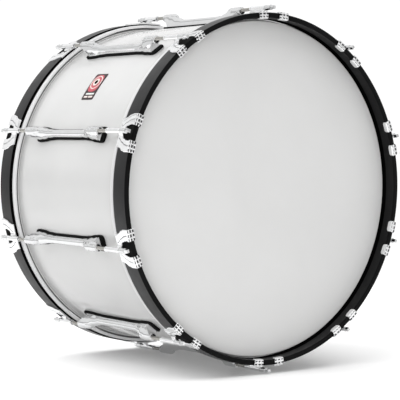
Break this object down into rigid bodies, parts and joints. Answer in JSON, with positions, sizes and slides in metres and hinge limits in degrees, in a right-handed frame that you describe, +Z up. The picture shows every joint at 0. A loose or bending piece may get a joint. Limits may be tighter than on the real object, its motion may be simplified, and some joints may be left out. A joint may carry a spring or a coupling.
{
  "type": "marching bass drum",
  "caption": "Large shallow cylinder drum with two recessed white heads, black counterhoops, long double-ended lugs and hooked claws turned down by key rods.",
  "frame": {"origin": "centre of the drum, midway between the heads on the drum's axis", "axes": "+Y along the drum axis to the rear head, so the front head faces -Y; +Z up through the top lug; +X to the right seen from the front"},
  "size_m": [0.6374, 0.4296, 0.6702],
  "materials": {
    "shell_lacquer": "white gloss lacquer over ply",
    "hoop_lacquer": "black lacquer over ply",
    "coated_film": "smooth white coated polyester film",
    "flesh_hoop_metal": "satin",
    "chrome_casting": "chrome plated casting on a black rubber gasket",
    "chrome_steel": "chrome plated steel",
    "badge_enamel": "bare red enamel on a dark metal plate, no lettering",
    "eyelet_metal": "plated eyelet"
  },
  "bodies": {
    "drum": {"shell": "shell_lacquer", "head_front": "coated_film", "head_rear": "coated_film", "flesh_hoop_front": "flesh_hoop_metal", "flesh_hoop_rear": "flesh_hoop_metal", "counterhoop_front": "hoop_lacquer", "counterhoop_rear": "hoop_lacquer", "lug_01": "chrome_casting", "lug_02": "chrome_casting", "lug_03": "chrome_casting", "lug_04": "chrome_casting", "lug_05": "chrome_casting", "lug_06": "chrome_casting", "lug_07": "chrome_casting", "lug_08": "chrome_casting", "lug_09": "chrome_casting", "lug_10": "chrome_casting", "claw_front_01": "chrome_casting", "claw_front_02": "chrome_casting", "claw_front_03": "chrome_casting", "claw_front_04": "chrome_casting", "claw_front_05": "chrome_casting", "claw_front_06": "chrome_casting", "claw_front_07": "chrome_casting", "claw_front_08": "chrome_casting", "claw_front_09": "chrome_casting", "claw_front_10": "chrome_casting", "claw_rear_01": "chrome_casting", "claw_rear_02": "chrome_casting", "claw_rear_03": "chrome_casting", "claw_rear_04": "chrome_casting", "claw_rear_05": "chrome_casting", "claw_rear_06": "chrome_casting", "claw_rear_07": "chrome_casting", "claw_rear_08": "chrome_casting", "claw_rear_09": "chrome_casting", "claw_rear_10": "chrome_casting", "badge": "badge_enamel", "vent_eyelet": "eyelet_metal"},
    "rod_front_01": {"tension_rod_front_01": "chrome_steel"},
    "rod_front_02": {"tension_rod_front_02": "chrome_steel"},
    "rod_front_03": {"tension_rod_front_03": "chrome_steel"},
    "rod_front_04": {"tension_rod_front_04": "chrome_steel"},
    "rod_front_05": {"tension_rod_front_05": "chrome_steel"},
    "rod_front_06": {"tension_rod_front_06": "chrome_steel"},
    "rod_front_07": {"tension_rod_front_07": "chrome_steel"},
    "rod_front_08": {"tension_rod_front_08": "chrome_steel"},
    "rod_front_09": {"tension_rod_front_09": "chrome_steel"},
    "rod_front_10": {"tension_rod_front_10": "chrome_steel"},
    "rod_rear_01": {"tension_rod_rear_01": "chrome_steel"},
    "rod_rear_02": {"tension_rod_rear_02": "chrome_steel"},
    "rod_rear_03": {"tension_rod_rear_03": "chrome_steel"},
    "rod_rear_04": {"tension_rod_rear_04": "chrome_steel"},
    "rod_rear_05": {"tension_rod_rear_05": "chrome_steel"},
    "rod_rear_06": {"tension_rod_rear_06": "chrome_steel"},
    "rod_rear_07": {"tension_rod_rear_07": "chrome_steel"},
    "rod_rear_08": {"tension_rod_rear_08": "chrome_steel"},
    "rod_rear_09": {"tension_rod_rear_09": "chrome_steel"},
    "rod_rear_10": {"tension_rod_rear_10": "chrome_steel"}
  },
  "joints": [
    {"name": "turn_front_01", "type": "hinge", "parent": "drum", "child": "rod_front_01", "pos_m": [0, -0.15, 0.3285], "axis": [0, -1, 0], "continuous": true},
    {"name": "turn_front_02", "type": "hinge", "parent": "drum", "child": "rod_front_02", "pos_m": [0.19309, -0.15, 0.26576], "axis": [0, -1, 0], "continuous": true},
    {"name": "turn_front_03", "type": "hinge", "parent": "drum", "child": "rod_front_03", "pos_m": [0.31242, -0.15, 0.10151], "axis": [0, -1, 0], "continuous": true},
    {"name": "turn_front_04", "type": "hinge", "parent": "drum", "child": "rod_front_04", "pos_m": [0.31242, -0.15, -0.10151], "axis": [0, -1, 0], "continuous": true},
    {"name": "turn_front_05", "type": "hinge", "parent": "drum", "child": "rod_front_05", "pos_m": [0.19309, -0.15, -0.26576], "axis": [0, -1, 0], "continuous": true},
    {"name": "turn_front_06", "type": "hinge", "parent": "drum", "child": "rod_front_06", "pos_m": [0, -0.15, -0.3285], "axis": [0, -1, 0], "continuous": true},
    {"name": "turn_front_07", "type": "hinge", "parent": "drum", "child": "rod_front_07", "pos_m": [-0.19309, -0.15, -0.26576], "axis": [0, -1, 0], "continuous": true},
    {"name": "turn_front_08", "type": "hinge", "parent": "drum", "child": "rod_front_08", "pos_m": [-0.31242, -0.15, -0.10151], "axis": [0, -1, 0], "continuous": true},
    {"name": "turn_front_09", "type": "hinge", "parent": "drum", "child": "rod_front_09", "pos_m": [-0.31242, -0.15, 0.10151], "axis": [0, -1, 0], "continuous": true},
    {"name": "turn_front_10", "type": "hinge", "parent": "drum", "child": "rod_front_10", "pos_m": [-0.19309, -0.15, 0.26576], "axis": [0, -1, 0], "continuous": true},
    {"name": "turn_rear_01", "type": "hinge", "parent": "drum", "child": "rod_rear_01", "pos_m": [0, 0.15, 0.3285], "axis": [0, 1, 0], "continuous": true},
    {"name": "turn_rear_02", "type": "hinge", "parent": "drum", "child": "rod_rear_02", "pos_m": [0.19309, 0.15, 0.26576], "axis": [0, 1, 0], "continuous": true},
    {"name": "turn_rear_03", "type": "hinge", "parent": "drum", "child": "rod_rear_03", "pos_m": [0.31242, 0.15, 0.10151], "axis": [0, 1, 0], "continuous": true},
    {"name": "turn_rear_04", "type": "hinge", "parent": "drum", "child": "rod_rear_04", "pos_m": [0.31242, 0.15, -0.10151], "axis": [0, 1, 0], "continuous": true},
    {"name": "turn_rear_05", "type": "hinge", "parent": "drum", "child": "rod_rear_05", "pos_m": [0.19309, 0.15, -0.26576], "axis": [0, 1, 0], "continuous": true},
    {"name": "turn_rear_06", "type": "hinge", "parent": "drum", "child": "rod_rear_06", "pos_m": [0, 0.15, -0.3285], "axis": [0, 1, 0], "continuous": true},
    {"name": "turn_rear_07", "type": "hinge", "parent": "drum", "child": "rod_rear_07", "pos_m": [-0.19309, 0.15, -0.26576], "axis": [0, 1, 0], "continuous": true},
    {"name": "turn_rear_08", "type": "hinge", "parent": "drum", "child": "rod_rear_08", "pos_m": [-0.31242, 0.15, -0.10151], "axis": [0, 1, 0], "continuous": true},
    {"name": "turn_rear_09", "type": "hinge", "parent": "drum", "child": "rod_rear_09", "pos_m": [-0.31242, 0.15, 0.10151], "axis": [0, 1, 0], "continuous": true},
    {"name": "turn_rear_10", "type": "hinge", "parent": "drum", "child": "rod_rear_10", "pos_m": [-0.19309, 0.15, 0.26576], "axis": [0, 1, 0], "continuous": true}
  ]
}
